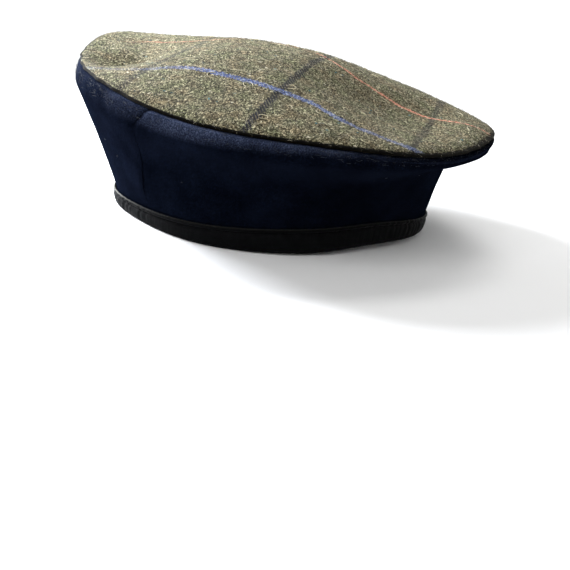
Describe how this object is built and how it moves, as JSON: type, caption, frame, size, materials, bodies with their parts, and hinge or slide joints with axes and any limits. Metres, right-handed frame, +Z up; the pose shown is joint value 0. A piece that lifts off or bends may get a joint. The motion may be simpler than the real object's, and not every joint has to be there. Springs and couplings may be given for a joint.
{
  "type": "beret",
  "caption": "Flat-topped wool beret with a domed checked tweed round, a flared melton side and a leather binding round the head opening.",
  "frame": {"origin": "middle of the hat's own box, on the table it rests on", "axes": "+Z up, -Y to the front of the hat, +X to the wearer's left"},
  "size_m": [0.2418, 0.2452, 0.099],
  "materials": {
    "tweed": "rough woven wool with a windowpane check",
    "melton": "felted matt wool",
    "leather": "soft satin"
  },
  "bodies": {
    "root": {"crown_top": "tweed", "side_left": "melton", "side_right": "melton", "binding": "leather"}
  },
  "joints": []
}
